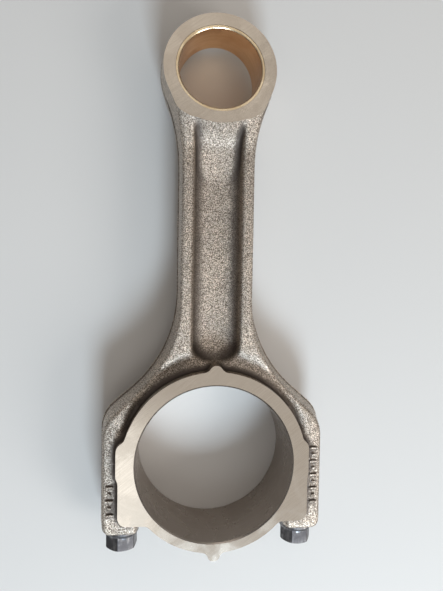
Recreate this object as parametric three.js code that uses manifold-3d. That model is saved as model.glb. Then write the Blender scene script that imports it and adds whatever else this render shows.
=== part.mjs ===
// A fracture-split connecting rod with its bolted cap, its two cap screws and its small-end bush.
// It lies flat: +Z runs along both bores, +Y from the big end to the small end, +X across.
// The rod is drawn about the big-end bore's centre; the group then stands it on its lower thrust face.
import * as THREE from "three";
import { mergeVertices } from "three/addons/utils/BufferGeometryUtils.js";
import Module from "manifold-3d";

const wasm = await Module();
wasm.setup();

// Driving dimensions, in millimetres and degrees.
const centreDistance = 182; // big-end bore to small-end bore

const bigBore = 73; // housing bore, without bearing shells
const bigWidth = 36; // across the thrust faces
const boreChamfer = 0.9;
const rodRingWall = 6.6; // bore to the outside of the machined ring, on the rod
const capRingWall = 4.8; // the same, on the cap
const rodLugReach = 3.1; // how far the balance lug stands out of the ring, on the rod
const capLugReach = 4; // the same, on the cap
const lugTip = 2.8; // radius of a lug's tip
const lugFoot = 6.2; // half the width of a lug at the ring
const earReach = 8.2; // bore to the flat side of the machined ear
const earTop = 9; // height of the ear above the joint
const earDrop = 27.5; // depth of the ear below the joint
const earRound = 4;

const forgingHeight = 26; // shank and bolt bosses, along Z
const draft = 1.2; // how much the forging narrows from its parting line to its top
const grooveWidth = 5.5; // valley between the ring and the shoulder's rim
const grooveDepth = 3.2;

const boltDiameter = 11; // thread
const boltHoleGap = 0.2; // radial room round a screw, in the cap and in the thread
const boltHoleWall = 1.05; // left between the screw's hole and the big bore
const bossWall = 4.2; // outside the screw's hole, at the parting line
const bossHeight = 14; // straight side of the bolt boss above the joint
const bossRound = 16;
const seatDrop = 34.5; // joint to the seat under the screw's head
const seatRound = 4;
const seatStock = 2; // forging machined off to make the seat
const seatMargin = 1; // seat inside the washer's edge
const engagement = 18; // thread in the rod
const holeRunout = 2; // hole past the screw's end
const washerDiameter = 16.4;
const washerHeight = 2.6;
const washerCone = 1.1;
const hexFlats = 13.4;
const hexHeight = 6.6;
const hexChamfer = 1.3;
const waistDiameter = 9.4; // stretch length of the screw
const waistStart = 5; // under the head
const waistEnd = 26;
const boltTip = 1.2; // chamfer on the screw's end
const leftHexTurn = -10; // where the hexagons came to rest when the screws were tightened
const rightHexTurn = -25;

const shankWidth = 36.6; // at the parting line
const webThickness = 10;
const flangeWidth = 6.3; // each side rail of the I section, at its top
const pocketDraft = 2.9;
const pocketRound = 8;
const pocketGap = 1.6; // lug's tip to the pocket's end
const pocketTopGap = 30; // small-end centre to the pocket's upper end
const rampAngle = 30; // pocket floor up to the small end
const rampGap = 41; // small-end centre to the foot of the ramp
const shoulderAngle = 49.6; // of the shoulder's straight stretch
const shoulderRadius = 60;
const neckRadius = 90; // shank into the small end

const pinBore = 38; // inside the bush
const bushWall = 1.5;
const bushFit = 0.05; // radial room round the bush
const bushInset = 0.35; // bush end below the machined face
const smallWall = 5.2; // bush to the edge of the machined face
const smallDraft = 1.6;
const smallWidth = 27.5; // across the sloping faces, at the pin's axis
const keystoneAngle = 8.5; // slope of each face

// Sizes that follow from them.
const degree = Math.PI / 180;
const boreRadius = bigBore / 2;
const halfWidth = bigWidth / 2;
const boltHoleRadius = boltDiameter / 2 + boltHoleGap;
const boltAxis = boreRadius + boltHoleWall + boltHoleRadius;
const bossHalf = boltAxis + boltHoleRadius + bossWall;
const earHalf = boreRadius + earReach;
const rodRing = boreRadius + rodRingWall;
const capRing = boreRadius + capRingWall;
const shankHalf = shankWidth / 2;
const halfForging = forgingHeight / 2;
const halfWeb = webThickness / 2;
const smallHole = pinBore / 2 + bushWall + bushFit;
const smallFace = smallHole + smallWall;
const smallBoss = smallFace + smallDraft;
const lowest = -Math.max(
  capRing + capLugReach,
  seatDrop + washerHeight + washerCone + hexHeight,
);
const highest = centreDistance + smallBoss;
const clear = 5; // how far a cutter runs past what it cuts
const circleSteps = 72;
const holeSteps = 24;
const arcSteps = 7;

// A closed geometry as a solid that can be joined and cut.
function toSolid(geometry) {
  geometry.deleteAttribute("normal");
  geometry.deleteAttribute("uv");
  const merged = mergeVertices(geometry);
  const corners = merged.index.array;
  const kept = [];
  for (let i = 0; i < corners.length; i += 3) {
    const [a, b, c] = [corners[i], corners[i + 1], corners[i + 2]];
    if (a !== b && b !== c && c !== a) kept.push(a, b, c);
  }
  const vertProperties = merged.attributes.position.array;
  const triVerts = new Uint32Array(kept);
  return new wasm.Manifold(new wasm.Mesh({ numProp: 3, vertProperties, triVerts }));
}

function toGeometry(solid) {
  const { vertProperties, triVerts } = solid.getMesh();
  const geometry = new THREE.BufferGeometry();
  geometry.setAttribute("position", new THREE.BufferAttribute(vertProperties, 3));
  geometry.setIndex(new THREE.BufferAttribute(triVerts, 1));
  return geometry;
}

// A whole outline from its right half, whose points have x of zero or more.
function mirrored(path) {
  const tiny = 1e-6;
  const right = path.getPoints(arcSteps).filter((p, i, all) => i === 0 || p.distanceTo(all[i - 1]) > tiny);
  const left = right.filter((p) => p.x > tiny).map((p) => new THREE.Vector2(-p.x, p.y));
  return new THREE.Shape([...right, ...left.reverse()]);
}

// A slab between two heights, with straight sides.
function slab(shape, low, high) {
  const geometry = new THREE.ExtrudeGeometry(shape, { depth: high - low, bevelEnabled: false });
  return toSolid(geometry.translate(0, 0, low));
}

// A slab about z = 0 that is widest at its middle and narrows by the draft towards both faces.
function draftedSlab(shape, half, narrowing) {
  const core = 0.5;
  const geometry = new THREE.ExtrudeGeometry(shape, {
    depth: 2 * core,
    bevelThickness: half - core,
    bevelSize: narrowing,
    bevelOffset: -narrowing,
    bevelSegments: 1,
  });
  return toSolid(geometry.translate(0, 0, -core));
}

// A turned solid on the Z axis from [radius, height] pairs.
function turned(profile, steps) {
  const points = profile.map(([r, z]) => new THREE.Vector2(r, z));
  return toSolid(new THREE.LatheGeometry(points, steps).rotateX(Math.PI / 2));
}

function disc(radius, low, high, steps) {
  return turned([[0, low], [radius, low], [radius, high], [0, high]], steps);
}

function box(x0, x1, y0, y1, z0, z1) {
  const geometry = new THREE.BoxGeometry(x1 - x0, y1 - y0, z1 - z0);
  return toSolid(geometry.translate((x0 + x1) / 2, (y0 + y1) / 2, (z0 + z1) / 2));
}

// Everything on the small-end side of the joint, and everything on the cap's side.
const side = bossHalf + clear;
const height = halfWidth + clear;
const above = box(-side, side, 0, highest + clear, -height, height);
const below = box(-side, side, lowest - clear, 0, -height, height);

// Both faces of the part are alike, so a cutter for one face is turned over for the other.
function bothFaces(solid) {
  return solid.add(solid.rotate([0, 180, 0]));
}

// The housing bore with the chamfer at its two ends.
function bigBoreCutter() {
  const mouth = boreRadius + boreChamfer + clear;
  return turned(
    [
      [0, -halfWidth - clear],
      [mouth, -halfWidth - clear],
      [boreRadius, -halfWidth + boreChamfer],
      [boreRadius, halfWidth - boreChamfer],
      [mouth, halfWidth + clear],
      [0, halfWidth + clear],
    ],
    circleSteps,
  );
}

// The machined land of the big end: its ring, a lug at the end of it, and an ear at each side.
function bigLand(ringRadius, lugReach, ofRod) {
  const footHeight = Math.sqrt(ringRadius ** 2 - lugFoot ** 2);
  const lugHalf = new THREE.Path();
  lugHalf.moveTo(0, boreRadius);
  lugHalf.lineTo(lugFoot, boreRadius);
  lugHalf.lineTo(lugFoot, footHeight);
  lugHalf.absarc(0, ringRadius + lugReach - lugTip, lugTip, Math.PI / 6, Math.PI / 2, false);
  const lug = mirrored(lugHalf);
  const ear = new THREE.Shape();
  ear.moveTo(0, -earDrop);
  ear.lineTo(earHalf - earRound, -earDrop);
  ear.absarc(earHalf - earRound, -earDrop + earRound, earRound, -Math.PI / 2, 0, false);
  ear.absarc(earHalf - earRound, earTop - earRound / 2, earRound, 0, Math.PI / 3, false);
  ear.lineTo(0, earTop + earHalf / 2);
  const lugSolid = slab(lug, -halfWidth, halfWidth);
  const earSolid = slab(ear, -halfWidth, halfWidth);
  return disc(ringRadius, -halfWidth, halfWidth, circleSteps)
    .add(ofRod ? lugSolid : lugSolid.rotate([0, 0, 180]))
    .add(earSolid)
    .add(earSolid.rotate([0, 180, 0]))
    .intersect(ofRod ? above : below);
}

// The rod's forged outline at the parting line; it runs on past the joint, where it is cut flat.
function rodOutline() {
  const angle = shoulderAngle * degree;
  const drop = 1 - Math.cos(angle);
  const across = bossHalf - shankHalf - (bossRound + shoulderRadius) * drop;
  const straight = Math.max(across / Math.sin(angle), 0);
  const shankStart =
    bossHeight + (bossRound + shoulderRadius) * Math.sin(angle) + straight * Math.cos(angle);
  const neckX = shankHalf + neckRadius;
  const neckTurn = Math.acos(neckX / (smallBoss + neckRadius));
  const neckY = centreDistance - neckX * Math.tan(neckTurn);
  const right = new THREE.Path();
  right.moveTo(bossHalf, -clear);
  right.lineTo(bossHalf, bossHeight);
  right.absarc(bossHalf - bossRound, bossHeight, bossRound, 0, angle, false);
  right.absarc(shankHalf + shoulderRadius, shankStart, shoulderRadius, Math.PI + angle, Math.PI, true);
  right.absarc(neckX, neckY, neckRadius, Math.PI, Math.PI - neckTurn, true);
  right.absarc(0, centreDistance, smallBoss, -neckTurn, Math.PI / 2, false);
  return mirrored(right);
}

// The shank's I-section pocket on the upper face, with a round lower end and a ramp up to the small end.
function pocketCutter() {
  const half = shankHalf - draft - flangeWidth;
  const round = Math.min(pocketRound, half);
  const low = rodRing + rodLugReach + pocketGap;
  const high = centreDistance - pocketTopGap;
  const right = new THREE.Path();
  right.moveTo(0, low);
  right.lineTo(half - round, low);
  right.absarc(half - round, low + round, round, -Math.PI / 2, 0, false);
  right.absarc(half - round, high - round, round, 0, Math.PI / 2, false);
  right.lineTo(0, high);
  const wall = halfForging - halfWeb;
  const geometry = new THREE.ExtrudeGeometry(mirrored(right), {
    depth: clear,
    bevelThickness: wall,
    bevelSize: pocketDraft,
    bevelOffset: -pocketDraft,
    bevelSegments: 1,
  });
  const ramp = new THREE.BoxGeometry(4 * half, 4 * pocketTopGap, 2 * wall);
  ramp.translate(0, 2 * pocketTopGap, -wall);
  ramp.rotateX(rampAngle * degree);
  ramp.translate(0, centreDistance - rampGap, halfWeb);
  return toSolid(geometry.translate(0, 0, halfForging)).subtract(toSolid(ramp));
}

// The valley between the machined ring and the shoulder's rim, on the upper face.
function grooveCutter() {
  const floor = halfForging - grooveDepth;
  const outer = rodRing + grooveWidth;
  const profile = [
    [rodRing - 1, floor],
    [outer - 1.5, floor],
    [outer, halfForging + clear],
    [rodRing - 1, halfForging + clear],
    [rodRing - 1, floor],
  ];
  const start = earTop + earRound;
  const sector = box(-bossHalf, bossHalf, start, 2 * bossHalf, 0, 2 * halfForging);
  return turned(profile, circleSteps).intersect(sector);
}

// Everything above the upper sloping face of the small end.
function keystoneCutter(inset) {
  const size = 4 * smallBoss;
  const geometry = new THREE.BoxGeometry(size, size, size);
  geometry.translate(0, 0, size / 2);
  geometry.rotateX(-keystoneAngle * degree);
  return toSolid(geometry.translate(0, centreDistance, smallWidth / 2 - inset));
}

function screwHole(x) {
  const geometry = new THREE.CylinderGeometry(
    boltHoleRadius,
    boltHoleRadius,
    seatDrop + clear + engagement + holeRunout,
    holeSteps,
  );
  return toSolid(geometry.translate(x, (engagement + holeRunout - seatDrop - clear) / 2, 0));
}

function rodBody() {
  const smallEnd = turned(
    [
      [0, -halfWidth],
      [smallFace, -halfWidth],
      [smallBoss, 0],
      [smallFace, halfWidth],
      [0, halfWidth],
    ],
    circleSteps,
  ).translate([0, centreDistance, 0]);
  const pinHole = disc(smallHole, -halfWidth - clear, halfWidth + clear, circleSteps);
  return draftedSlab(rodOutline(), halfForging, draft)
    .intersect(above)
    .subtract(bothFaces(grooveCutter()))
    .subtract(bothFaces(pocketCutter()))
    .add(bigLand(rodRing, rodLugReach, true))
    .add(smallEnd)
    .subtract(bothFaces(keystoneCutter(0)))
    .subtract(pinHole.translate([0, centreDistance, 0]))
    .subtract(bigBoreCutter())
    .subtract(screwHole(boltAxis))
    .subtract(screwHole(-boltAxis));
}

// The cap's forged outline; it runs on past the joint and the seats, where it is cut flat.
function capOutline(seatInner) {
  const low = -seatDrop - seatStock;
  const right = new THREE.Path();
  right.moveTo(0, -capRing);
  right.absarc(0, 0, capRing, -Math.PI / 2, -Math.acos(seatInner / capRing), false);
  right.lineTo(seatInner, low);
  right.lineTo(bossHalf - seatRound, low);
  right.absarc(bossHalf - seatRound, seatRound + low, seatRound, -Math.PI / 2, 0, false);
  right.lineTo(bossHalf, clear);
  return mirrored(right);
}

function bearingCap() {
  const seatInner = boltAxis - washerDiameter / 2 - seatMargin;
  return draftedSlab(capOutline(seatInner), halfForging, draft)
    .add(bigLand(capRing, capLugReach, false))
    .subtract(seatCutter(seatInner))
    .subtract(seatCutter(seatInner).rotate([0, 180, 0]))
    .intersect(below)
    .subtract(bigBoreCutter())
    .subtract(screwHole(boltAxis))
    .subtract(screwHole(-boltAxis));
}

// Everything under the machined seat of the right-hand screw.
function seatCutter(inner) {
  return box(inner, bossHalf + clear, lowest - clear, -seatDrop, -halfWidth - clear, halfWidth + clear);
}

// The bush is trimmed to the slope of the small end, a little under its faces.
function smallEndBush() {
  const inner = pinBore / 2;
  const outer = inner + bushWall;
  const long = halfWidth + clear;
  return turned([[inner, -long], [outer, -long], [outer, long], [inner, long], [inner, -long]], circleSteps)
    .translate([0, centreDistance, 0])
    .subtract(bothFaces(keystoneCutter(bushInset)));
}

// A cap screw on the Y axis, its washer face on the seat and its thread pointing to the small end.
function capScrew() {
  const thread = boltDiameter / 2;
  const waist = waistDiameter / 2;
  const washer = washerDiameter / 2;
  const hexCorner = hexFlats / Math.sqrt(3);
  const tip = engagement + seatDrop;
  const headTop = -washerHeight - washerCone;
  const profile = [
    [0, headTop],
    [hexCorner, headTop],
    [washer, -washerHeight],
    [washer, 0],
    [thread, 0],
    [thread, waistStart],
    [waist, waistStart + (thread - waist)],
    [waist, waistEnd - (thread - waist)],
    [thread, waistEnd],
    [thread, tip - boltTip],
    [thread - boltTip, tip],
    [0, tip],
  ];
  const points = profile.map(([r, y]) => new THREE.Vector2(r, y));
  const hexLength = hexHeight + washerCone; // it runs into the washer's cone, which holds it
  const hex = new THREE.CylinderGeometry(hexCorner, hexCorner, hexLength, 6);
  const dome = new THREE.LatheGeometry(
    [
      new THREE.Vector2(0, -hexHeight),
      new THREE.Vector2(hexFlats / 2 - 0.4, -hexHeight),
      new THREE.Vector2(hexCorner + 0.2, -hexHeight + hexChamfer),
      new THREE.Vector2(hexCorner + 0.2, clear),
      new THREE.Vector2(0, clear),
    ],
    holeSteps,
  );
  const head = toSolid(hex.translate(0, hexLength / 2 - hexHeight, 0)).intersect(toSolid(dome));
  return toSolid(new THREE.LatheGeometry(points, holeSteps))
    .add(head.translate([0, headTop, 0]))
    .translate([0, -seatDrop, 0]);
}

const forgedSteel = { color: 0x857b72, roughness: 0.62, metalness: 0.85 };
const bronze = { color: 0xb0714a, roughness: 0.3, metalness: 1 };
const blackenedSteel = { color: 0x3c3b3d, roughness: 0.45, metalness: 0.8 };

const rod = new THREE.Group();

function addPiece(name, solid, finish, x = 0, turn = 0) {
  const mesh = new THREE.Mesh(toGeometry(solid), new THREE.MeshStandardMaterial(finish));
  mesh.name = name;
  mesh.position.x = x;
  mesh.rotation.y = turn * degree;
  rod.add(mesh);
}

addPiece("rod_body", rodBody(), forgedSteel);
addPiece("bearing_cap", bearingCap(), forgedSteel);
addPiece("small_end_bush", smallEndBush(), bronze);
addPiece("cap_screw_left", capScrew(), blackenedSteel, -boltAxis, leftHexTurn);
addPiece("cap_screw_right", capScrew(), blackenedSteel, boltAxis, rightHexTurn);

rod.position.set(0, -(lowest + highest) / 2, halfWidth);

export default rod;
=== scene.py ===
import math

import bpy
import bmesh
from mathutils import Matrix, Vector


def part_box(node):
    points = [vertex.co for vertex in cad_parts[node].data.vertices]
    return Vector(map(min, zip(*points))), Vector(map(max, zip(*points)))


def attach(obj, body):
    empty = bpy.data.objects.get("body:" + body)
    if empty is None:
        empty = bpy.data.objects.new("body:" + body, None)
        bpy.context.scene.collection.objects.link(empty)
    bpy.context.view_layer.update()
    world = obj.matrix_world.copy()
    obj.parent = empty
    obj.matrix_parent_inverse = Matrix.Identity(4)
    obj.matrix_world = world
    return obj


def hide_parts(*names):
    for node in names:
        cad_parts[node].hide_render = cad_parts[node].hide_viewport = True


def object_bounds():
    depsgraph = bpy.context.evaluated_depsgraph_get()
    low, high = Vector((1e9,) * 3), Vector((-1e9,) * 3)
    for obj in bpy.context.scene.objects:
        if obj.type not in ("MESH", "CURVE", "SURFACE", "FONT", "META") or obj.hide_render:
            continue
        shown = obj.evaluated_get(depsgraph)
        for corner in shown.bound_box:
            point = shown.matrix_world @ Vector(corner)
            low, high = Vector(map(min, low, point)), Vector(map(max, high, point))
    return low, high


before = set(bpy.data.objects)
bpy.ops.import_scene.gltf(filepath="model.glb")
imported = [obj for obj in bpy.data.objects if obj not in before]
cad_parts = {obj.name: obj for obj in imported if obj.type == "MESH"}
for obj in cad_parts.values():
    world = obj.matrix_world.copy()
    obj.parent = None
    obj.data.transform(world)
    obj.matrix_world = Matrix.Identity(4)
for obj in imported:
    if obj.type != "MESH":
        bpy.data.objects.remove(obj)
cadLow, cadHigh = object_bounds()

# Everything is drawn in millimetres about the middle of the big end's bore:
# x across, y towards the small end, z along the bores. settle() then moves it to its place in the frame.
mm = 0.001
rodLow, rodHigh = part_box("rod_body")
bushLow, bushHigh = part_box("small_end_bush")
screwLow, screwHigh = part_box("cap_screw_right")
bigEnd = Vector((0, rodLow.y, (rodLow.z + rodHigh.z) / 2))
pinY = ((bushLow.y + bushHigh.y) / 2 - bigEnd.y) / mm
screwX = (screwLow.x + screwHigh.x) / 2 / mm
headEnd = (screwLow.y - bigEnd.y) / mm
screwTip = (screwHigh.y - bigEnd.y) / mm
halfWidth = (rodHigh.z - rodLow.z) / 2 / mm
bossHalf = rodHigh.x / mm
crown = (rodHigh.y - bigEnd.y) / mm
bushOuter = (bushHigh.x - bushLow.x) / 2 / mm
outside = 60  # further across and along than any tool has to cut at the big end
above = 30  # further up and down than any tool has to cut


def point(x, y, z):
    return Vector((x, y, z)) * mm


# Selection and modifiers

def deselectAll():
    if bpy.context.object and bpy.context.object.mode != "OBJECT":
        bpy.ops.object.mode_set(mode="OBJECT")
    bpy.ops.object.select_all(action="DESELECT")


def pick(*objects):
    deselectAll()
    for item in objects:
        item.select_set(True)
    bpy.context.view_layer.objects.active = objects[-1]


def editAll(item):
    pick(item)
    bpy.ops.object.mode_set(mode="EDIT")
    bpy.ops.mesh.select_all(action="SELECT")


def endEdit():
    bpy.ops.object.mode_set(mode="OBJECT")


def applyModifier(item, kind, **settings):
    pick(item)
    modifier = item.modifiers.new(kind.title(), kind)
    for key, value in settings.items():
        setattr(modifier, key, value)
    bpy.ops.object.modifier_apply(modifier=modifier.name)


def boolean(item, tool, operation, keep=False, solver="MANIFOLD"):
    applyModifier(item, "BOOLEAN", object=tool, operation=operation, solver=solver)
    if not keep:
        bpy.data.objects.remove(tool)


def weld(item, tool):
    boolean(item, tool, "UNION")


def cut(item, tool, keep=False):
    boolean(item, tool, "DIFFERENCE", keep)


def trim(item, tool, keep=False):
    boolean(item, tool, "INTERSECT", keep)


def duplicate(item, name):
    pick(item)
    bpy.ops.object.duplicate()
    copy = bpy.context.object
    copy.name = name
    return copy


# Primitives at their size and place, in millimetres

def block(name, low, high, turn=(0, 0, 0)):
    middle = [(a + b) / 2 for a, b in zip(low, high)]
    size = [b - a for a, b in zip(low, high)]
    deselectAll()
    bpy.ops.mesh.primitive_cube_add(size=mm, location=point(*middle), scale=size)
    item = bpy.context.object
    item.name = name
    item.rotation_euler = [math.radians(a) for a in turn]
    bpy.ops.object.transform_apply(location=True, rotation=True, scale=True)
    return item


def drum(name, radius, low, high, at=(0, 0), along="Z", steps=96):
    # at is the drum's place across its own axis
    middle = (low + high) / 2
    place = (at[0], at[1], middle) if along == "Z" else (at[0], middle, at[1])
    turn = (0, 0, 0) if along == "Z" else (math.radians(90), 0, 0)
    deselectAll()
    bpy.ops.mesh.primitive_cylinder_add(
        vertices=steps, radius=radius * mm, depth=(high - low) * mm, location=point(*place), rotation=turn
    )
    item = bpy.context.object
    item.name = name
    bpy.ops.object.transform_apply(location=True, rotation=True, scale=True)
    return item


def cone(name, lowRadius, highRadius, low, high, at=(0, 0), steps=96):
    deselectAll()
    bpy.ops.mesh.primitive_cone_add(
        vertices=steps, radius1=lowRadius * mm, radius2=highRadius * mm, depth=(high - low) * mm,
        location=point(at[0], at[1], (low + high) / 2),
    )
    item = bpy.context.object
    item.name = name
    bpy.ops.object.transform_apply(location=True, rotation=True, scale=True)
    return item


# An outline is one corner drawn out along straight and round strokes, as a chain of extruded edges.

def startOutline(name, x, y, z=0):
    deselectAll()
    bpy.ops.mesh.primitive_plane_add(size=mm, location=(0, 0, 0))
    item = bpy.context.object
    item.name = name
    bpy.ops.object.mode_set(mode="EDIT")
    bpy.ops.mesh.select_all(action="SELECT")
    bpy.ops.mesh.merge(type="CENTER")
    bpy.ops.transform.translate(value=point(x, y, z))
    return item


def penTip():
    mesh = bmesh.from_edit_mesh(bpy.context.object.data)
    return next(v.co.copy() for v in mesh.verts if v.select)


def lineTo(x, y):
    tip = penTip()
    step = Vector((x * mm - tip.x, y * mm - tip.y, 0))
    bpy.ops.mesh.extrude_region_move(TRANSFORM_OT_translate={"value": step})


def arcAbout(x, y, degrees, steps):  # anticlockwise; spin itself counts the other way
    tip = penTip()
    bpy.ops.mesh.spin(
        steps=steps, angle=-math.radians(degrees), center=(x * mm, y * mm, tip.z), axis=(0, 0, 1)
    )


def closeOutline(item, mirrored=True):
    # the right half is mirrored over, then the closed loop gets its face
    bpy.ops.mesh.select_all(action="SELECT")
    if mirrored:
        bpy.ops.mesh.symmetrize(direction="POSITIVE_X")
        bpy.ops.mesh.select_all(action="SELECT")
    bpy.ops.mesh.remove_doubles(threshold=mm / 1000)
    bpy.ops.mesh.edge_face_add()
    endEdit()
    if item.data.polygons[0].normal.z < 0:
        editAll(item)
        bpy.ops.mesh.flip_normals()
        endEdit()


def extrudeOutline(item, low, high):
    editAll(item)
    bpy.ops.transform.translate(value=point(0, 0, low))
    bpy.ops.mesh.extrude_region_move(TRANSFORM_OT_translate={"value": point(0, 0, high - low)})
    bpy.ops.mesh.select_all(action="SELECT")
    bpy.ops.mesh.normals_make_consistent(inside=False)
    endEdit()


def mirrorDown(item):
    # the lower half of a shape whose flat cut lies at z = 0
    applyModifier(item, "MIRROR", use_axis=(False, False, True), use_mirror_merge=True,
                  merge_threshold=mm / 1000)


def faceCount(item):
    return sum(len(p.vertices) - 2 for p in item.data.polygons)


# The forging: shank, bosses, both half rings and the small end, still in one piece

forging = {
    "height": 13.0, "draft": 1.2, "flash": 0.3, "shoulderLean": 3.2,
    "shankHalf": 18.3, "shoulderAngle": 49.6, "bossRound": 16.0, "bossHeight": 14.0,
    "shoulderRadius": 60.0, "neckRadius": 90.0,
    "capRing": 41.3, "rodRing": 43.1, "coreInset": 3.0,
    "seatInner": 34.05, "seatDrop": 34.5, "seatStock": 1.2, "seatRound": 4.0,
    "pinFace": 25.75, "pinBoss": 27.35,
    "arcSteps": {"ring": 16, "seat": 8, "boss": 12, "shoulder": 16, "neck": 10, "crown": 28},
    "voxel": 0.8, "softness": 16, "landSoftness": 5, "waveDepth": 0.09, "waveSize": 5.0,
}


def traceForging(name, inset, lean, z):
    g = forging
    boss = bossHalf - inset
    shank = g["shankHalf"] - inset
    pinBoss = crown - pinY - inset
    start = g["bossHeight"] - lean
    angle = math.radians(g["shoulderAngle"])
    radii = g["bossRound"] + g["shoulderRadius"]
    across = boss - shank - radii * (1 - math.cos(angle))
    straight = across / math.sin(angle)
    shankStart = start + radii * math.sin(angle) + straight * math.cos(angle)
    neckX = shank + g["neckRadius"]
    neckTurn = math.acos(neckX / (pinBoss + g["neckRadius"]))
    low = -g["seatDrop"] - g["seatStock"] + inset
    inner = g["seatInner"] + inset
    core = g["capRing"] - g["coreInset"]
    steps = g["arcSteps"]
    item = startOutline(name, 0, -core, z)
    arcAbout(0, 0, math.degrees(math.asin(inner / core)), steps["ring"])
    lineTo(inner, low)
    lineTo(boss - g["seatRound"], low)
    arcAbout(boss - g["seatRound"], low + g["seatRound"], 90, steps["seat"])
    lineTo(boss, start)
    arcAbout(boss - g["bossRound"], start, g["shoulderAngle"], steps["boss"])
    lineTo(shank + g["shoulderRadius"] * (1 - math.cos(angle)),
           shankStart - g["shoulderRadius"] * math.sin(angle))
    arcAbout(shank + g["shoulderRadius"], shankStart, -g["shoulderAngle"], steps["shoulder"])
    lineTo(shank, pinY - neckX * math.tan(neckTurn))
    arcAbout(neckX, pinY - neckX * math.tan(neckTurn), -math.degrees(neckTurn), steps["neck"])
    arcAbout(0, pinY, 90 + math.degrees(neckTurn), steps["crown"])
    return item


def forgedBlank():
    # lofted from the parting line up to the flat top, then mirrored down
    g = forging
    foot = traceForging("Forging", g["flash"], 0, 0)
    closeOutline(foot)
    top = traceForging("ForgingTop", g["flash"] + g["draft"], g["shoulderLean"], g["height"])
    closeOutline(top)
    editAll(foot)
    bpy.ops.mesh.delete(type="ONLY_FACE")
    endEdit()
    pick(top, foot)
    bpy.ops.object.join()
    editAll(foot)
    bpy.ops.mesh.bridge_edge_loops()
    bpy.ops.mesh.select_all(action="SELECT")
    bpy.ops.mesh.normals_make_consistent(inside=False)
    endEdit()
    mirrorDown(foot)
    return foot


def smallEndBoss(name, height):
    # turned boss of the small end, widest at the parting line
    g = forging
    slope = (g["pinBoss"] - g["pinFace"]) / halfWidth
    item = cone(name, g["pinBoss"], g["pinBoss"] - slope * height, 0, height, at=(0, pinY))
    lower = cone("BossLower", g["pinBoss"] - slope * height, g["pinBoss"], -height, 0, at=(0, pinY))
    weld(item, lower)
    return item


# cones up to the small end's face: how far they lie beyond its edge at foot and top, and the foot's height
sweeps = {"long": (16.0, -4.2, 12), "short": (7.5, -1.0, 9), "top": 19, "within": (8, 22)}


def pinSkirt(name, wide, narrow, foot):
    g = forging
    outline = traceForging(name + "Outline", g["flash"] + g["draft"], g["shoulderLean"], 0)
    closeOutline(outline)
    extrudeOutline(outline, *sweeps["within"])
    skirt = cone(name, g["pinFace"] + wide, g["pinFace"] + narrow, foot, sweeps["top"], at=(0, pinY))
    trim(skirt, outline)
    return skirt


pocket = {"half": 11.3, "draft": 1.2, "round": 8.5, "low": 45.8, "topGap": 20.0, "floor": 5.0,
          "fillet": 4.5, "filletSteps": 4, "cornerSteps": 12, "past": 7.0,
          "ramps": ((13.0, 50.0), (31.0, 40.5))}  # each ramp's slope, and where it starts below the pin


def shankPocket():
    # the I section's pocket: drawn above the flange, pushed down to the web, and cut off by the ramps
    p = pocket
    top = forging["height"] + p["past"]
    slope = p["draft"] / (forging["height"] - p["floor"])
    out = slope * p["past"]
    half = p["half"] + out
    low = p["low"] - out
    high = pinY - p["topGap"] + out
    corner = p["round"] + out
    item = startOutline("Pocket", 0, low, top)
    lineTo(half - corner, low)
    arcAbout(half - corner, low + corner, 90, p["cornerSteps"])
    lineTo(half, high)
    lineTo(0, high)
    closeOutline(item)
    editAll(item)
    wall = top - p["floor"] - p["fillet"]
    bpy.ops.mesh.inset(thickness=slope * wall * mm, depth=-wall * mm)
    for i in range(p["filletSteps"]):
        # round the wall's foot into the web
        start, end = (math.radians(90 * (i + k) / p["filletSteps"]) for k in (0, 1))
        inward = p["fillet"] * (math.cos(start) - math.cos(end))
        down = p["fillet"] * (math.sin(end) - math.sin(start))
        bpy.ops.mesh.inset(thickness=inward * mm, depth=-down * mm)
    bpy.ops.mesh.select_all(action="DESELECT")
    bpy.ops.mesh.select_non_manifold()
    bpy.ops.mesh.edge_face_add()
    bpy.ops.mesh.select_all(action="SELECT")
    bpy.ops.mesh.normals_make_consistent(inside=False)
    for angle, gap in p["ramps"]:
        tilt = math.radians(angle)
        bpy.ops.mesh.select_all(action="SELECT")
        bpy.ops.mesh.bisect(
            plane_co=point(0, pinY - gap, p["floor"]), plane_no=(0, -math.sin(tilt), math.cos(tilt)),
            use_fill=True, clear_inner=True,
        )
    endEdit()
    return item


dish = {"centreY": 9.0, "reach": 44.0, "section": 9.0, "depth": 2.9, "field": ((-60, 12.5, -5), (60, 70, 40))}


def shoulderDish():
    # the round-bottomed valley between the ring and the shoulder's rim
    d = dish
    lift = d["section"] - d["depth"]
    halfChord = math.sqrt(d["section"] ** 2 - lift ** 2)
    deselectAll()
    bpy.ops.mesh.primitive_torus_add(
        major_radius=(d["reach"] - halfChord) * mm, minor_radius=d["section"] * mm,
        major_segments=96, minor_segments=48,
        location=point(0, d["centreY"], forging["height"] + lift),
    )
    item = bpy.context.object
    item.name = "Dish"
    bpy.ops.object.transform_apply(location=True)
    trim(item, block("DishField", *d["field"]))
    return item


def turnOver(item):
    # the same shape on the other face
    other = duplicate(item, item.name + "Other")
    editAll(other)
    bpy.ops.transform.resize(value=(1, 1, -1), center_override=(0, 0, 0))
    bpy.ops.mesh.flip_normals()
    endEdit()
    return other


def bothFaces(item, tool, operation):
    boolean(item, turnOver(tool), operation)
    boolean(item, tool, operation)


def soften(item, voxel, rounds):
    applyModifier(item, "REMESH", mode="VOXEL", voxel_size=voxel * mm)
    applyModifier(item, "SMOOTH", factor=0.5, iterations=rounds)


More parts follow.
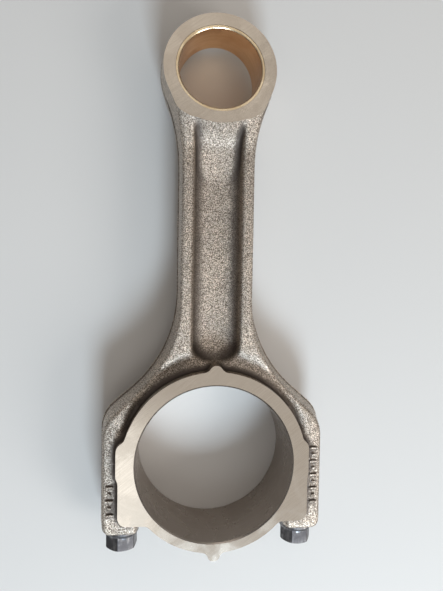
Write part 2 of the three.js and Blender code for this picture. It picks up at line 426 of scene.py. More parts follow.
land = {"bore": 36.5, "stock": 0.9, "steps": 160,
        "lugFoot": 5.0, "lugSink": 0.4, "lugTip": 3.0, "lugNeck": 1.2, "noseStart": 15,
        "rodLug": 3.1, "capLug": 4.0, "lap": 0.2,
        "earTop": 9.0, "earDrop": 27.5, "earRound": 4.0, "rodEar": (45.2, 44.3), "capEar": (44.1, 43.9),
        "earStep": -5.0, "earSlope": 2.5, "earInner": 20, "earTurn": 60, "earRise": 22}


def lug(name, ring, reach, up):
    # bell-shaped balance lug at the end of a ring
    g = land
    tall = halfWidth + g["stock"]
    footHeight = math.sqrt(ring ** 2 - g["lugFoot"] ** 2)
    item = startOutline(name, 0, g["bore"])
    lineTo(g["lugFoot"], g["bore"])
    lineTo(g["lugFoot"], footHeight - g["lugSink"])
    lineTo(g["lugTip"], footHeight + g["lugNeck"])
    tipY = ring + reach - g["lugTip"]
    start = math.radians(g["noseStart"])
    lineTo(g["lugTip"] * math.cos(start), tipY + g["lugTip"] * math.sin(start))
    arcAbout(0, tipY, 90 - g["noseStart"], 8)
    closeOutline(item)
    extrudeOutline(item, -tall, tall)
    if not up:
        editAll(item)
        bpy.ops.transform.resize(value=(-1, -1, 1), center_override=(0, 0, 0))
        endEdit()
    return item


def ear(name, rodHalf, capHalf, side):
    # the flat machined ear beside the joint, a little wider on the rod than on the cap
    g = land
    tall = halfWidth + g["stock"]
    item = startOutline(name, g["earInner"], -g["earDrop"])
    lineTo(capHalf - g["earRound"], -g["earDrop"])
    arcAbout(capHalf - g["earRound"], g["earRound"] - g["earDrop"], 90, 8)
    lineTo(capHalf, g["earStep"] - g["earSlope"])
    lineTo(rodHalf, g["earStep"])
    top = g["earTop"] - g["earRound"] / 2
    lineTo(rodHalf, top)
    arcAbout(rodHalf - g["earRound"], top, g["earTurn"], 8)
    lineTo(g["earInner"], top + g["earRise"])
    closeOutline(item, mirrored=False)
    extrudeOutline(item, -tall, tall)
    if side < 0:
        editAll(item)
        bpy.ops.transform.resize(value=(-1, 1, 1), center_override=(0, 0, 0))
        bpy.ops.mesh.flip_normals()
        endEdit()
    return item


def bigLand():
    # what is raised for the thrust faces: half rings, lugs and ears
    g = land
    tall = halfWidth + g["stock"]
    ring = drum("Ring", forging["rodRing"], -tall, tall, steps=g["steps"])
    trim(ring, block("RodHalf", (-outside, 0, -above), (outside, outside, above)))
    capRing = drum("CapRing", forging["capRing"], -tall, tall, steps=g["steps"])
    trim(capRing, block("CapHalf", (-outside, -outside, -above), (outside, g["lap"], above)))
    weld(ring, capRing)
    weld(ring, lug("RodLug", forging["rodRing"], g["rodLug"], True))
    weld(ring, lug("CapLug", forging["capRing"], g["capLug"], False))
    weld(ring, ear("EarRight", g["rodEar"][1], g["capEar"][1], 1))
    weld(ring, ear("EarLeft", g["rodEar"][0], g["capEar"][0], -1))
    return ring


def unevenSkin(item, strength, size):
    # long, low waves that a die leaves in a forged skin
    texture = bpy.data.textures.new("dieWaves", "CLOUDS")
    texture.noise_scale = size * mm
    texture.noise_depth = 1
    applyModifier(item, "DISPLACE", texture=texture, texture_coords="LOCAL", strength=strength * mm,
                  mid_level=0.5)


def forge():
    g = forging
    body = forgedBlank()
    bothFaces(body, pinSkirt("Skirt", *sweeps["long"]), "UNION")
    bothFaces(body, shankPocket(), "DIFFERENCE")
    weld(body, smallEndBoss("Boss", halfWidth + 1))
    bothFaces(body, pinSkirt("Collar", *sweeps["short"]), "UNION")
    bothFaces(body, shoulderDish(), "DIFFERENCE")
    print("forging blocked out:", faceCount(body), "triangles")
    soften(body, g["voxel"], g["softness"])
    weld(body, bigLand())
    soften(body, g["voxel"], g["landSoftness"])
    unevenSkin(body, g["waveDepth"], g["waveSize"])
    print("forging softened:", faceCount(body), "triangles")
    return body


def turned(name, profile, steps=64):
    # a profile of (radius, y) corners, lathed about the y axis
    item = startOutline(name, *profile[0])
    for radius, y in profile[1:]:
        lineTo(radius, y)
    endEdit()
    applyModifier(item, "SCREW", axis="Y", angle=2 * math.pi, screw_offset=0, steps=steps,
                  render_steps=steps, use_merge_vertices=True, merge_threshold=mm / 1000)
    closeShell(item)
    return item


def closeShell(item):
    editAll(item)
    bpy.ops.mesh.remove_doubles(threshold=mm / 1000)
    bpy.ops.mesh.normals_make_consistent(inside=False)
    endEdit()


def helix(name, profile, start, pitch, turns, steps=40):
    # a closed section of (radius, y) corners, screwed up the y axis
    item = startOutline(name, *profile[0])
    for radius, y in profile[1:]:
        lineTo(radius, y)
    closeOutline(item, mirrored=False)
    editAll(item)
    bpy.ops.transform.translate(value=point(0, start, 0))
    bpy.ops.mesh.delete(type="ONLY_FACE")
    endEdit()
    applyModifier(item, "SCREW", axis="Y", angle=2 * math.pi, screw_offset=pitch * mm, iterations=turns,
                  steps=steps, render_steps=steps)
    editAll(item)
    bpy.ops.mesh.fill_holes(sides=0)
    bpy.ops.mesh.select_all(action="SELECT")
    bpy.ops.mesh.normals_make_consistent(inside=False)
    endEdit()
    return item


def mirrorOver(item, name):
    # the left-hand copy of a right-hand tool
    other = duplicate(item, name)
    editAll(other)
    bpy.ops.transform.resize(value=(-1, 1, 1), center_override=(0, 0, 0))
    bpy.ops.mesh.flip_normals()
    endEdit()
    return other


machining = {
    "bore": 36.5, "boreChamfer": 0.6, "chamferPast": 1.0, "chamferLap": 0.01, "boreSteps": 192,
    "pinHole": bushOuter + 0.05, "pinSteps": 144, "slope": 8.5, "pinWidth": 27.5, "seatRunIn": 0.4,
    "screwHole": 5.7, "counterbore": 1.2, "counterboreEnd": -33.9, "holeEnd": 20.0, "drillPoint": 3.0,
    "holeSteps": 48, "seatChamfer": 0.7, "splitChamfer": 0.7, "splitGap": 0.3,
    "tapStart": 1.1, "tapDrill": 0.1,
    "threadFoot": 0.4, "threadDepth": 0.42, "threadHalf": 0.42, "threadCrest": 0.1,
    "pitch": 1.5, "threadStart": 1.6, "threadTurns": 12,
}


def slopeTool(name, inset):
    # all that lies above the small end's sloping face
    m = machining
    size = 110
    tilt = math.radians(m["slope"])
    foot = Vector((0, pinY, m["pinWidth"] / 2 - inset))
    middle = foot + Vector((0, math.sin(tilt), math.cos(tilt))) * size / 2
    low = middle - Vector((size, size, size)) / 2
    return block(name, low, low + Vector((size, size, size)), (-m["slope"], 0, 0))


def screwHoleTool():
    m = machining
    r = m["screwHole"]
    mouth = r + m["counterbore"]
    seat = m["counterboreEnd"]
    split = m["splitGap"]
    tap = r - m["tapDrill"]
    hole = turned("ScrewHole", [
        (0, -outside), (mouth, -outside), (mouth, seat), (r, seat + m["seatChamfer"]),
        (r, -split - m["splitChamfer"]), (r + m["splitChamfer"], -split), (r + m["splitChamfer"], split),
        (tap, m["tapStart"]), (tap, m["holeEnd"]), (0, m["holeEnd"] + m["drillPoint"]),
    ], m["holeSteps"])
    editAll(hole)
    bpy.ops.transform.translate(value=point(screwX, 0, 0))
    endEdit()
    return hole


def threadTool():
    # the thread's groove in the rod
    m = machining
    r = m["screwHole"] - m["threadFoot"]
    out = m["screwHole"] + m["threadDepth"]
    half = m["pitch"] * m["threadHalf"]
    crest = m["threadCrest"]
    section = [(r, -half), (out, -crest), (out, crest), (r, half)]
    tool = helix("HoleThread", section, m["threadStart"], m["pitch"], m["threadTurns"])
    editAll(tool)
    bpy.ops.transform.translate(value=point(screwX, 0, 0))
    endEdit()
    return tool


def machine(body):
    m = machining
    faceMill = block("FaceMill", (-outside, -outside, halfWidth), (outside, outside, above))
    bothFaces(body, faceMill, "DIFFERENCE")
    bothFaces(body, slopeTool("SlopeMill", 0), "DIFFERENCE")
    cut(body, drum("PinHole", m["pinHole"], -above, above, at=(0, pinY), steps=m["pinSteps"]))
    cut(body, drum("BigBore", m["bore"], -above, above, steps=m["boreSteps"]))
    chamfer = m["boreChamfer"]
    wide = m["bore"] + chamfer + m["chamferPast"]
    top = halfWidth + m["chamferPast"] + m["chamferLap"]
    narrow = m["bore"] - m["chamferLap"]
    mouth = cone("BoreChamfer", narrow, wide, halfWidth - chamfer, top, steps=m["boreSteps"])
    bothFaces(body, mouth, "DIFFERENCE")
    inner = forging["seatInner"] - m["seatRunIn"]
    seat = block("SeatMill", (inner, -outside, -above), (outside, -forging["seatDrop"], above))
    cut(body, mirrorOver(seat, "SeatMillLeft"))
    cut(body, seat)
    hole = screwHoleTool()
    cut(body, mirrorOver(hole, "ScrewHoleLeft"))
    cut(body, hole)


marks = {"height": 0.8, "sink": 0.8, "edge": 0.22, "x": 48.0, "long": (1.7, 0.45), "short": (0.8, 0.45),
         "right": (-20.5, 5.5, 9), "left": (-24.0, -11.0, 5)}  # from, to, how many


def raisedMarks(side, low, high, count):
    # a plain row of long and short bars, raised on the bolt boss
    g = marks
    top = forging["height"] + g["height"]
    foot = forging["height"] - g["sink"]
    pitch = (high - low) / (count - 1)
    pieces = []
    for i in range(count):
        x = side * g["x"]
        y = low + i * pitch
        halfLong, halfWide = g["long"] if i % 2 == 0 else g["short"]
        bar = block("Bar", (x - halfLong, y - halfWide, foot), (x + halfLong, y + halfWide, top))
        applyModifier(bar, "BEVEL", width=g["edge"] * mm, segments=2)
        pieces.append(bar)
    pick(*pieces)
    bpy.ops.object.join()
    return bpy.context.object


band = {"inset": 0.02, "half": 1.1, "ringOut": 0.28, "edge": 0.25, "ringHalf": 33}


def partingBand():
    # the trimmed flash all round the parting line
    b = band
    item = traceForging("PartingBand", b["inset"], 0, 0)
    closeOutline(item)
    extrudeOutline(item, -b["half"], b["half"])
    ring = drum("PartingRing", forging["capRing"] + b["ringOut"], -b["half"], b["half"], steps=land["steps"])
    trim(ring, block("PartingField", (-b["ringHalf"], -outside, -5), (b["ringHalf"], -20, 5)))
    weld(item, ring)
    applyModifier(item, "BEVEL", width=b["edge"] * mm, segments=1, limit_method="ANGLE",
                  angle_limit=math.radians(60))
    return item


fracture = {"cells": (130, 46), "size": (120, 42), "grain": 1.6, "detail": 3, "rough": 0.7, "down": 70}


def fractureTool():
    # the cap's side of the break: its broken face is a rough grid at the joint
    f = fracture
    deselectAll()
    bpy.ops.mesh.primitive_grid_add(
        x_subdivisions=f["cells"][0], y_subdivisions=f["cells"][1], size=mm,
        rotation=(math.radians(-90), 0, 0),
    )
    item = bpy.context.object
    item.name = "Break"
    item.scale = (*f["size"], 1)
    bpy.ops.object.transform_apply(location=True, rotation=True, scale=True)
    texture = bpy.data.textures.new("brokenGrain", "CLOUDS")
    texture.noise_scale = f["grain"] * mm
    texture.noise_depth = f["detail"]
    applyModifier(item, "DISPLACE", texture=texture, texture_coords="LOCAL", strength=f["rough"] * mm,
                  mid_level=0.5)
    editAll(item)
    bpy.ops.mesh.extrude_region_move(TRANSFORM_OT_translate={"value": point(0, -f["down"], 0)})
    bpy.ops.mesh.select_all(action="SELECT")
    bpy.ops.mesh.normals_make_consistent(inside=False)
    endEdit()
    return item


def settle(item, name, angle=32):
    # from the big end's own middle to its place in the frame
    item.name = name
    item.location = bigEnd
    pick(item)
    bpy.ops.object.transform_apply(location=True)
    bpy.ops.object.shade_smooth_by_angle(angle=math.radians(angle))


body = forge()
weld(body, raisedMarks(1, *marks["right"]))
weld(body, raisedMarks(-1, *marks["left"]))
weld(body, partingBand())
print("marks and parting band on:", faceCount(body), "triangles")
machine(body)
breakTool = fractureTool()
capPiece = duplicate(body, "CapPiece")
trim(capPiece, breakTool, keep=True)
rodPiece = body
cut(rodPiece, breakTool)
thread = threadTool()
cut(rodPiece, mirrorOver(thread, "HoleThreadLeft"))
cut(rodPiece, thread)
print("split: rod", faceCount(rodPiece), "cap", faceCount(capPiece), "triangles")


# The small end's bush

bush = {"bore": 19.0, "inset": 0.2, "rim": 0.8, "edge": 0.12, "steps": 144, "sharp": 50}


def roundRims(item, width, chosen):
    # bevels the sharp edges at the ends, picked by their distance from the pin's axis
    editAll(item)
    bpy.ops.mesh.select_all(action="DESELECT")
    mesh = bmesh.from_edit_mesh(item.data)
    for edge in mesh.edges:
        middle = (edge.verts[0].co + edge.verts[1].co) / 2 / mm
        sharp = edge.calc_face_angle(0) > math.radians(bush["sharp"])
        edge.select_set(sharp and chosen(math.hypot(middle.x, middle.y - pinY)))
    bpy.ops.mesh.select_mode(type="EDGE")
    bpy.ops.mesh.bevel(offset=width * mm, segments=3, affect="EDGES")
    bpy.ops.mesh.select_mode(type="VERT")
    endEdit()


def makeBush():
    b = bush
    item = drum("Bush", bushOuter, -above, above, at=(0, pinY), steps=b["steps"])
    cut(item, drum("BushBore", b["bore"], -above - 1, above + 1, at=(0, pinY), steps=b["steps"]))
    bothFaces(item, slopeTool("BushTrim", b["inset"]), "DIFFERENCE")
    middle = (b["bore"] + bushOuter) / 2
    roundRims(item, b["rim"], lambda radius: radius < middle)
    roundRims(item, b["edge"], lambda radius: radius > middle)
    return item


bushPiece = makeBush()


# The cap screws

screw = {
    "thread": 5.5, "root": 4.62, "pitch": 1.5, "crest": 0.1, "ridgeHalf": 0.46, "ridgeSink": 0.15, "tip": 1.2,
    "neck": 5.4, "neckFillet": 0.6, "waist": 4.7, "waistStart": 5.0, "waistEnd": 26.0, "waistSlope": 1.2,
    "washer": 8.2, "washerHeight": 2.6, "washerCone": 1.1, "washerEdge": 0.25,
    "hexFlats": 13.4, "hexHeight": 6.6, "hexChamfer": 1.5, "hexRound": 0.28, "hexSpare": 0.25,
    "recess": 3.6, "recessRim": 4.2, "recessDepth": 0.5,
    "leftTurn": -10, "rightTurn": -25, "steps": 72,
}


def roundUprights(item, width):
    # bevels the six long edges of a hexagon
    editAll(item)
    bpy.ops.mesh.select_all(action="DESELECT")
    mesh = bmesh.from_edit_mesh(item.data)
    for edge in mesh.edges:
        run = edge.verts[1].co - edge.verts[0].co
        edge.select_set(abs(run.normalized().y) > 0.9)
    bpy.ops.mesh.select_mode(type="EDGE")
    bpy.ops.mesh.bevel(offset=width * mm, segments=3, affect="EDGES")
    bpy.ops.mesh.select_mode(type="VERT")
    endEdit()


def makeScrew(name, x, turn):
    s = screw
    seat = -forging["seatDrop"]
    corner = s["hexFlats"] / math.sqrt(3)
    top = headEnd + s["hexHeight"]
    hexagon = drum(name, corner, headEnd, top + s["washerCone"], along="Y", steps=6)
    roundUprights(hexagon, s["hexRound"])
    flat = s["hexFlats"] / 2
    past = corner + s["hexSpare"]
    envelope = turned("HexEnvelope", [
        (0, headEnd + s["recessDepth"]), (s["recess"], headEnd + s["recessDepth"]), (s["recessRim"], headEnd),
        (flat - 0.5, headEnd), (corner - 0.35, headEnd + 0.55), (past, headEnd + s["hexChamfer"]),
        (past, seat), (0, seat),
    ], s["steps"])
    trim(hexagon, envelope)
    washer = s["washer"]
    washerTop = seat - s["washerHeight"]
    edge = s["washerEdge"]
    waistLow = seat + s["waistStart"]
    waistHigh = seat + s["waistEnd"]
    tip = screwTip
    shaft = turned("Shaft", [
        (0, top - 1), (corner - 0.9, top - 1), (corner - 0.7, top - 0.05), (corner - 0.3, top + 0.12),
        (corner + 0.1, washerTop - 0.35), (washer - edge, washerTop), (washer, washerTop + 0.3),
        (washer, seat - edge), (washer - edge, seat),
        (s["neck"] + s["neckFillet"], seat), (s["neck"], seat + s["neckFillet"]), (s["neck"], waistLow),
        (s["waist"], waistLow + s["waistSlope"]), (s["waist"], waistHigh - s["waistSlope"]),
        (s["root"] + 0.2, waistHigh), (s["root"], waistHigh + 0.5),
        (s["root"], tip - 0.4), (s["root"] - 0.6, tip), (0, tip),
    ], s["steps"])
    half = s["pitch"] * s["ridgeHalf"]
    under = s["root"] - s["ridgeSink"]
    turns = int((tip - waistHigh) / s["pitch"]) + 1
    section = [(under, -half), (s["thread"], -s["crest"]), (s["thread"], s["crest"]), (under, half)]
    ridge = helix("Ridge", section, waistHigh - 0.3, s["pitch"], turns)
    sleeveTop = s["thread"] + 0.2  # clear of the thread's crests
    sleeve = turned("Sleeve", [
        (0, waistHigh - 0.6), (s["root"], waistHigh - 0.6), (sleeveTop, waistHigh + 1.6),
        (sleeveTop, tip - s["tip"]), (s["root"] - 0.4, tip), (0, tip),
    ], s["steps"])
    trim(ridge, sleeve)
    weld(shaft, ridge)
    weld(hexagon, shaft)
    hexagon.rotation_euler = (0, math.radians(turn), 0)
    hexagon.location = point(x, 0, 0)
    pick(hexagon)
    bpy.ops.object.transform_apply(location=True, rotation=True)
    return hexagon


leftScrew = makeScrew("LeftScrew", -screwX, screw["leftTurn"])
rightScrew = makeScrew("RightScrew", screwX, screw["rightTurn"])


# Finishes. Shared effects are node groups; every material holds its own shader.

def newGroup(name, inputs, outputs):
    group = bpy.data.node_groups.new(name, "ShaderNodeTree")
    for label, value in inputs:
        socket = group.interface.new_socket(label, in_out="INPUT", socket_type="NodeSocketFloat")
        socket.default_value = value
    for label, kind in outputs:
        group.interface.new_socket(label, in_out="OUTPUT", socket_type=kind)
    start = group.nodes.new("NodeGroupInput")
    end = group.nodes.new("NodeGroupOutput")
    return group, start, end


def addNode(tree, kind, **settings):
    node = tree.nodes.new(kind)
    for key, value in settings.items():
        if key in node.inputs:
            node.inputs[key].default_value = value
        else:
            setattr(node, key, value)
    return node


def maths(tree, operation, first, second):
    node = tree.nodes.new("ShaderNodeMath")
    node.operation = operation
    for socket, value in zip(node.inputs, (first, second)):
        if isinstance(value, (int, float)):
            socket.default_value = value
        else:
            tree.links.new(value, socket)
    return node.outputs[0]


def spread(tree, value, low, high, toLow=0.0, toHigh=1.0):
    node = tree.nodes.new("ShaderNodeMapRange")
    node.interpolation_type = "SMOOTHSTEP"
    for socket, number in zip(node.inputs[1:5], (low, high, toLow, toHigh)):
        socket.default_value = number
    tree.links.new(value, node.inputs[0])
    return node.outputs[0]


def blend(tree, mask, first, second):
    node = tree.nodes.new("ShaderNodeMix")
    node.data_type = "RGBA"
    tree.links.new(mask, node.inputs[0])
    for socket, value in ((node.inputs[6], first), (node.inputs[7], second)):
        if isinstance(value, tuple):
            socket.default_value = (*value, 1)
        else:
            tree.links.new(value, socket)
    return node.outputs[2]


blast = {
    "dentDetail": 2.5, "dentRoughness": 0.62, "dentDistortion": 0.4, "dentSpan": (0.32, 0.68),
    "gritSpan": (0.42, 0.62), "fineScale": 2.6, "fineShare": 0.35, "driftDetail": 3.0, "driftRoughness": 0.55,
    "driftSpan": (0.35, 0.65),
}


def blastGrainGroup():
    # shot-blasted skin: round dents over a finer grit, and a slow drift of tone
    b = blast
    group, start, end = newGroup(
        "BlastGrain", [("Dent Size", 1.0), ("Drift Size", 14.0)],
        [("Height", "NodeSocketFloat"), ("Grit", "NodeSocketFloat"), ("Drift", "NodeSocketFloat")],
    )
    place = addNode(group, "ShaderNodeTexCoord").outputs["Object"]
    dentScale = maths(group, "DIVIDE", 1000.0, start.outputs["Dent Size"])
    dents = addNode(group, "ShaderNodeTexNoise", Detail=b["dentDetail"], Roughness=b["dentRoughness"],
                    Distortion=b["dentDistortion"])
    fine = addNode(group, "ShaderNodeTexNoise", Detail=1.0, Roughness=0.5)
    drift = addNode(group, "ShaderNodeTexNoise", Detail=b["driftDetail"], Roughness=b["driftRoughness"])
    for node in (dents, fine, drift):
        group.links.new(place, node.inputs["Vector"])
    group.links.new(dentScale, dents.inputs["Scale"])
    group.links.new(maths(group, "MULTIPLY", dentScale, b["fineScale"]), fine.inputs["Scale"])
    group.links.new(maths(group, "DIVIDE", 1000.0, start.outputs["Drift Size"]), drift.inputs["Scale"])
    coarse = spread(group, dents.outputs[0], *b["dentSpan"])
    small = maths(group, "MULTIPLY", fine.outputs[0], b["fineShare"])
    group.links.new(maths(group, "ADD", coarse, small), end.inputs["Height"])
    group.links.new(spread(group, dents.outputs[0], *b["gritSpan"]), end.inputs["Grit"])
    group.links.new(spread(group, drift.outputs[0], *b["driftSpan"]), end.inputs["Drift"])
    return group


scratches = {
    "detail": 3.0, "roughness": 0.7, "span": (0.25, 0.75), "stainScale": 75.0, "stainDetail": 4.0,
    "stainRoughness": 0.6, "stainDistortion": 0.6, "stainSpan": (0.38, 0.66),
}


def toolLinesGroup():
    # fine parallel scratches: how they are turned, and how close they lie across and along
    g = scratches
    group, start, end = newGroup(
        "ToolLines", [("Turn", 0.0), ("Across", 2600.0), ("Along", 60.0)],
        [("Lines", "NodeSocketFloat"), ("Stain", "NodeSocketFloat")],
    )
    place = addNode(group, "ShaderNodeTexCoord").outputs["Object"]
    turn = addNode(group, "ShaderNodeVectorRotate", rotation_type="Z_AXIS")
    group.links.new(place, turn.inputs["Vector"])
    group.links.new(start.outputs["Turn"], turn.inputs["Angle"])
    stretch = addNode(group, "ShaderNodeCombineXYZ")
    group.links.new(start.outputs["Across"], stretch.inputs[0])
    group.links.new(start.outputs["Along"], stretch.inputs[1])
    group.links.new(start.outputs["Along"], stretch.inputs[2])
    scaled = addNode(group, "ShaderNodeVectorMath", operation="MULTIPLY")
    group.links.new(turn.outputs[0], scaled.inputs[0])
    group.links.new(stretch.outputs[0], scaled.inputs[1])
    lines = addNode(group, "ShaderNodeTexNoise", Scale=1.0, Detail=g["detail"], Roughness=g["roughness"])
    group.links.new(scaled.outputs[0], lines.inputs["Vector"])
    stain = addNode(group, "ShaderNodeTexNoise", Scale=g["stainScale"], Detail=g["stainDetail"],
                    Roughness=g["stainRoughness"], Distortion=g["stainDistortion"])
    group.links.new(place, stain.inputs["Vector"])
    group.links.new(spread(group, lines.outputs[0], *g["span"]), end.inputs["Lines"])
    group.links.new(spread(group, stain.outputs[0], *g["stainSpan"]), end.inputs["Stain"])
    return group


blastGrain = blastGrainGroup()
toolLines = toolLinesGroup()


def newMaterial(name, **values):
    material = bpy.data.materials.new(name)
    material.use_nodes = True
    tree = material.node_tree
    shader = tree.nodes["Principled BSDF"]
    for key, value in values.items():
        shader.inputs[key.replace("_", " ")].default_value = value
    return material, tree, shader


def useGroup(tree, group, **values):
    node = tree.nodes.new("ShaderNodeGroup")
    node.node_tree = group
    for key, value in values.items():
        node.inputs[key.replace("_", " ")].default_value = value
    return node


def bumpFrom(tree, shader, height, strength, depth):
    bump = addNode(tree, "ShaderNodeBump", Strength=strength, Distance=depth * mm)
    tree.links.new(height, bump.inputs["Height"])
    tree.links.new(bump.outputs[0], shader.inputs["Normal"])


# scale is the colour of the painted shade in the hollows and creases, partly also for forging scale
forgedFinish = {
    "dark": (0.17, 0.135, 0.107), "light": (0.90, 0.775, 0.655), "cool": (0.78, 0.69, 0.60),
    "scale": (0.12, 0.098, 0.085), "metallic": 0.9, "roughness": (0.34, 0.46), "dent": 0.44, "depth": 0.10,
    "strength": 1.0,
}


def forgedMaterial():
    f = forgedFinish
    material, tree, shader = newMaterial("ForgedSkin", Metallic=f["metallic"])
    grain = useGroup(tree, blastGrain, Dent_Size=f["dent"])
    body = blend(tree, grain.outputs["Drift"], f["light"], f["cool"])
    blasted = blend(tree, grain.outputs["Grit"], f["dark"], body)
    # painted shade: the skin darkens to the scale colour in the hollows and creases
    creviceShade = addNode(tree, "ShaderNodeVertexColor", layer_name="CreviceShade").outputs["Color"]
    tone = blend(tree, creviceShade, f["scale"], blasted)
    tree.links.new(tone, shader.inputs["Base Color"])
    rough = spread(tree, grain.outputs["Grit"], 0.0, 1.0, f["roughness"][1], f["roughness"][0])
    tree.links.new(rough, shader.inputs["Roughness"])
    bumpFrom(tree, shader, grain.outputs["Height"], f["strength"], f["depth"])
    return material


groundFinish = {
    "bright": (0.62, 0.57, 0.505), "stained": (0.55, 0.495, 0.43), "roughness": (0.15, 0.21), "turn": 0.9,
    "depth": 0.006,
}
seatFinish = {
    "bright": (0.55, 0.53, 0.50), "stained": (0.40, 0.38, 0.35), "roughness": (0.28, 0.42), "turn": 0.0,
    "depth": 0.03,
}
bushEndFinish = {
    "bright": (0.98, 0.86, 0.66), "stained": (0.80, 0.64, 0.42), "roughness": (0.22, 0.34), "turn": 0.4,
    "depth": 0.01,
}


def groundMaterial(name, turn, bright, stained, roughness, depth):
    material, tree, shader = newMaterial(name, Metallic=1.0)
    lines = useGroup(tree, toolLines, Turn=turn)
    base = blend(tree, lines.outputs["Stain"], bright, stained)
    streak = blend(tree, lines.outputs["Lines"], tuple(c * 0.97 for c in stained), base)
    tree.links.new(streak, shader.inputs["Base Color"])
    rough = spread(tree, lines.outputs["Stain"], 0.0, 1.0, *roughness)
    tree.links.new(rough, shader.inputs["Roughness"])
    bumpFrom(tree, shader, lines.outputs["Lines"], 0.6, depth)
    return material


# across: how close the turning marks lie up the bore
boredFinish = {
    "bright": (0.54, 0.49, 0.45), "stained": (0.46, 0.41, 0.37), "roughness": (0.24, 0.34), "across": 2200,
}
bronzeFinish = {
    "bright": (1.0, 0.70, 0.43), "stained": (0.74, 0.45, 0.24), "roughness": (0.14, 0.26), "across": 3000,
}
turning = {"along": 18, "detail": 3.0, "rough": 0.65, "cloud": 60.0, "strength": 0.5, "depth": 0.015}


def boredMaterial(name, bright, stained, roughness, across):
    # marks run round the bore, so only the height along it matters
    t = turning
    material, tree, shader = newMaterial(name, Metallic=1.0)
    place = addNode(tree, "ShaderNodeTexCoord").outputs["Object"]
    stretch = addNode(tree, "ShaderNodeMapping")
    stretch.inputs["Scale"].default_value = (t["along"], t["along"], across)
    tree.links.new(place, stretch.inputs["Vector"])
    rings = addNode(tree, "ShaderNodeTexNoise", Scale=1.0, Detail=t["detail"], Roughness=t["rough"])
    tree.links.new(stretch.outputs[0], rings.inputs["Vector"])
    clouds = addNode(tree, "ShaderNodeTexNoise", Scale=t["cloud"], Detail=4.0, Roughness=0.6)
    tree.links.new(place, clouds.inputs["Vector"])
    tone = blend(tree, spread(tree, clouds.outputs[0], 0.4, 0.65), bright, stained)
    streaked = blend(tree, spread(tree, rings.outputs[0], 0.3, 0.7), stained, tone)
    tree.links.new(streaked, shader.inputs["Base Color"])
    tree.links.new(spread(tree, clouds.outputs[0], 0.35, 0.65, *roughness), shader.inputs["Roughness"])
    bumpFrom(tree, shader, rings.outputs[0], t["strength"], t["depth"])
    return material


brokenFinish = {
    "dark": (0.10, 0.10, 0.105), "light": (0.52, 0.52, 0.53), "roughness": (0.3, 0.6), "dent": 0.35,
    "depth": 0.15,
}


def brokenMaterial():
    f = brokenFinish
    material, tree, shader = newMaterial("BrokenGrain", Metallic=0.9)
    grain = useGroup(tree, blastGrain, Dent_Size=f["dent"])
    tone = blend(tree, grain.outputs["Grit"], f["dark"], f["light"])
    tree.links.new(tone, shader.inputs["Base Color"])
    rough = spread(tree, grain.outputs["Grit"], 0.0, 1.0, f["roughness"][1], f["roughness"][0])
    tree.links.new(rough, shader.inputs["Roughness"])
    bumpFrom(tree, shader, grain.outputs["Height"], 1.0, f["depth"])
    return material


screwFinish = {
    "dark": (0.09, 0.085, 0.089), "worn": (0.25, 0.242, 0.245), "roughness": (0.30, 0.46), "dent": 0.5,
    "drift": 5.0, "across": 900.0, "along": 120.0, "strength": 0.35, "depth": 0.05,
}


def screwMaterial():
    # blackened steel, rubbed a little lighter in patches
    f = screwFinish
    material, tree, shader = newMaterial("BlackenedSteel", Metallic=0.9)
    grain = useGroup(tree, blastGrain, Dent_Size=f["dent"], Drift_Size=f["drift"])
    lines = useGroup(tree, toolLines, Across=f["across"], Along=f["along"])
    rubbed = maths(tree, "MULTIPLY", grain.outputs["Drift"], lines.outputs["Lines"])
    tree.links.new(blend(tree, rubbed, f["dark"], f["worn"]), shader.inputs["Base Color"])
    rough = spread(tree, rubbed, 0.0, 0.8, f["roughness"][1], f["roughness"][0])
    tree.links.new(rough, shader.inputs["Roughness"])
    bumpFrom(tree, shader, grain.outputs["Height"], f["strength"], f["depth"])
    return material


forgedSkin = forgedMaterial()
groundFace = groundMaterial("GroundFace", **groundFinish)
boredWall = boredMaterial("BoredWall", **boredFinish)
milledSeat = groundMaterial("MilledSeat", **seatFinish)
brokenGrain = brokenMaterial()
bushBronze = boredMaterial("BushBronze", **bronzeFinish)
bushEnd = groundMaterial("BushEnd", **bushEndFinish)
blackenedSteel = screwMaterial()

# angles between which the painted shade in a hollow goes from dark to clear
hollowShading = {"blur": 3, "clear": 89.0, "dark": 85.5}


def paintCreviceShade(item):
    # painted shade: black in the hollows and creases where shade falls, partly also for scale left there, and
    # white on open faces
    pick(item)
    bpy.ops.geometry.color_attribute_add(name="CreviceShade", domain="POINT", data_type="FLOAT_COLOR",
                                         color=(1, 1, 1, 1))
    bpy.ops.paint.vertex_color_dirt(
        blur_strength=1, blur_iterations=hollowShading["blur"], clean_angle=math.radians(hollowShading["clear"]),
        dirt_angle=math.radians(hollowShading["dark"]), dirt_only=False, normalize=False,
    )


def dress(item, materials, chooser):
    # chooser looks at a face's middle in millimetres and its normal, and names its finish
    item.data.materials.clear()
    for material in materials:
        item.data.materials.append(material)
    order = {material.name: i for i, material in enumerate(materials)}
    for face in item.data.polygons:
        face.material_index = order[chooser(face.center / mm, face.normal).name]


def steelFinish(c, n):
    m = machining
    tilt = math.radians(m["slope"])
    slopeUp = n.y * math.sin(tilt) + abs(n.z) * math.cos(tilt)
    slopeHeight = (c.y - pinY) * math.sin(tilt) + (abs(c.z) - m["pinWidth"] / 2) * math.cos(tilt)
    if abs(n.z) > 0.9995 and abs(abs(c.z) - halfWidth) < 0.01:
        return groundFace
    if slopeUp > 0.9995 and abs(slopeHeight) < 0.01:
        return groundFace
    if math.hypot(c.x, c.y) < m["bore"] + m["boreChamfer"] + 0.05:
        return boredWall
    if math.hypot(c.x, c.y - pinY) < m["pinHole"] + 0.05:
        return boredWall
    if math.hypot(abs(c.x) - screwX, c.z) < m["screwHole"] + 0.75 and c.y < m["holeEnd"] + 4:
        return boredWall
    if n.y < -0.99 and abs(c.y + forging["seatDrop"]) < 0.02:
        return milledSeat
    if abs(c.y) < 0.6 and abs(n.y) > 0.35 and abs(c.x) > m["bore"]:
        return brokenGrain
    return forgedSkin


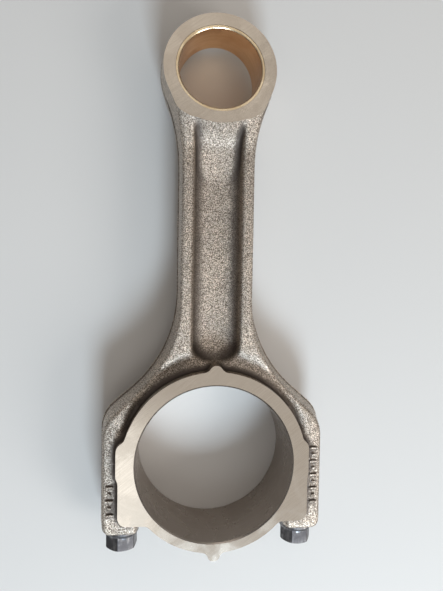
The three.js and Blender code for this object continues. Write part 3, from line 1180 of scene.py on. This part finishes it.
def bushFinish(c, n):
    return bushEnd if abs(n.z) > 0.5 else bushBronze


for item in (rodPiece, capPiece):
    paintCreviceShade(item)
print("crevices marked")
steelFinishes = [forgedSkin, groundFace, boredWall, milledSeat, brokenGrain]
dress(rodPiece, steelFinishes, steelFinish)
dress(capPiece, steelFinishes, steelFinish)
dress(bushPiece, [bushBronze, bushEnd], bushFinish)
for item in (leftScrew, rightScrew):
    dress(item, [blackenedSteel], lambda c, n: blackenedSteel)
print("finishes on")

settle(rodPiece, "Rod")
settle(capPiece, "Cap")
settle(bushPiece, "Bush")
settle(leftScrew, "ScrewLeft", 24)
settle(rightScrew, "ScrewRight", 24)
for item in (bushPiece, leftScrew, rightScrew):
    applyModifier(item, "WEIGHTED_NORMAL", keep_sharp=True)

for item, body, nodes, slot in (
    (rodPiece, "rod", ["rod_body"], "forged_steel"),
    (capPiece, "cap", ["bearing_cap"], "forged_steel"),
    (bushPiece, "rod", ["small_end_bush"], "bush_bronze"),
    (leftScrew, "screw_left", ["cap_screw_left"], "screw_steel"),
    (rightScrew, "screw_right", ["cap_screw_right"], "screw_steel"),
):
    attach(item, body)
    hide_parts(*nodes)


# Floor, light and camera

studio = {"floor": (0.67, 0.65, 0.63), "world": (1.0, 0.965, 0.92), "worldPower": 0.17}
# each light's place in millimetres from the big end's middle, size in metres, power and tint
lights = {
    "Key": ((110, -740, 680), 0.28, 9.5, (0.72, 0.87, 1.0)),
    "Side": ((820, -600, 640), 0.5, 5.5, (1.0, 0.98, 0.95)),
    "Top": ((-190, -370, 850), 0.34, 0.42, (0.92, 0.97, 1.0)),
    "Ceiling": ((650, 150, 1350), 2.4, 9.0, (1.0, 0.93, 0.85)),
    "Back": ((-60, 1150, 800), 0.7, 1.0, (1.0, 0.92, 0.82)),
}


def softLight(name, place, size, power, tint):
    target = bigEnd + point(0, pinY / 2, 0)
    spot = bigEnd + point(*place)
    bpy.ops.object.light_add(type="AREA", location=spot)
    lamp = bpy.context.object
    lamp.name = name
    lamp.rotation_euler = (target - spot).to_track_quat("-Z", "Y").to_euler()
    lamp.data.size = size
    lamp.data.energy = power
    lamp.data.color = tint


def makeFloor():
    deselectAll()
    bpy.ops.mesh.primitive_plane_add(size=6, location=(0, 0, cadLow.z))
    floor = bpy.context.object
    floor.name = "Floor"
    material, _, shader = newMaterial("PaleFloor", Roughness=0.85)
    shader.inputs["Base Color"].default_value = (*studio["floor"], 1)
    floor.data.materials.append(material)


def makeWorld():
    world = bpy.data.worlds.new("Studio")
    world.use_nodes = True
    sky = world.node_tree.nodes["Background"]
    sky.inputs["Color"].default_value = (*studio["world"], 1)
    sky.inputs["Strength"].default_value = studio["worldPower"]
    bpy.context.scene.world = world


# place and aim are in millimetres from the big end's middle
camera = {"place": (-25.8, 86.5, 248.35), "aim": (3.72, 77.55, 0), "roll": 1.014, "lens": 31.09, "sensor": 36}


def makeCamera():
    place = bigEnd + point(*camera["place"])
    ahead = (bigEnd + point(*camera["aim"]) - place).normalized()
    roll = math.radians(camera["roll"])
    right = ahead.cross(Vector((-math.sin(roll), math.cos(roll), 0))).normalized()
    up = right.cross(ahead)
    bpy.ops.object.camera_add()
    eye = bpy.context.object
    eye.matrix_world = Matrix.Translation(place) @ Matrix((right, up, -ahead)).transposed().to_4x4()
    eye.data.lens = camera["lens"]
    eye.data.sensor_width = camera["sensor"]
    eye.data.clip_start = 0.01
    bpy.context.scene.camera = eye


makeFloor()
makeWorld()
for name, light in lights.items():
    softLight(name, *light)
makeCamera()
bpy.context.scene.view_settings.view_transform = "Standard"
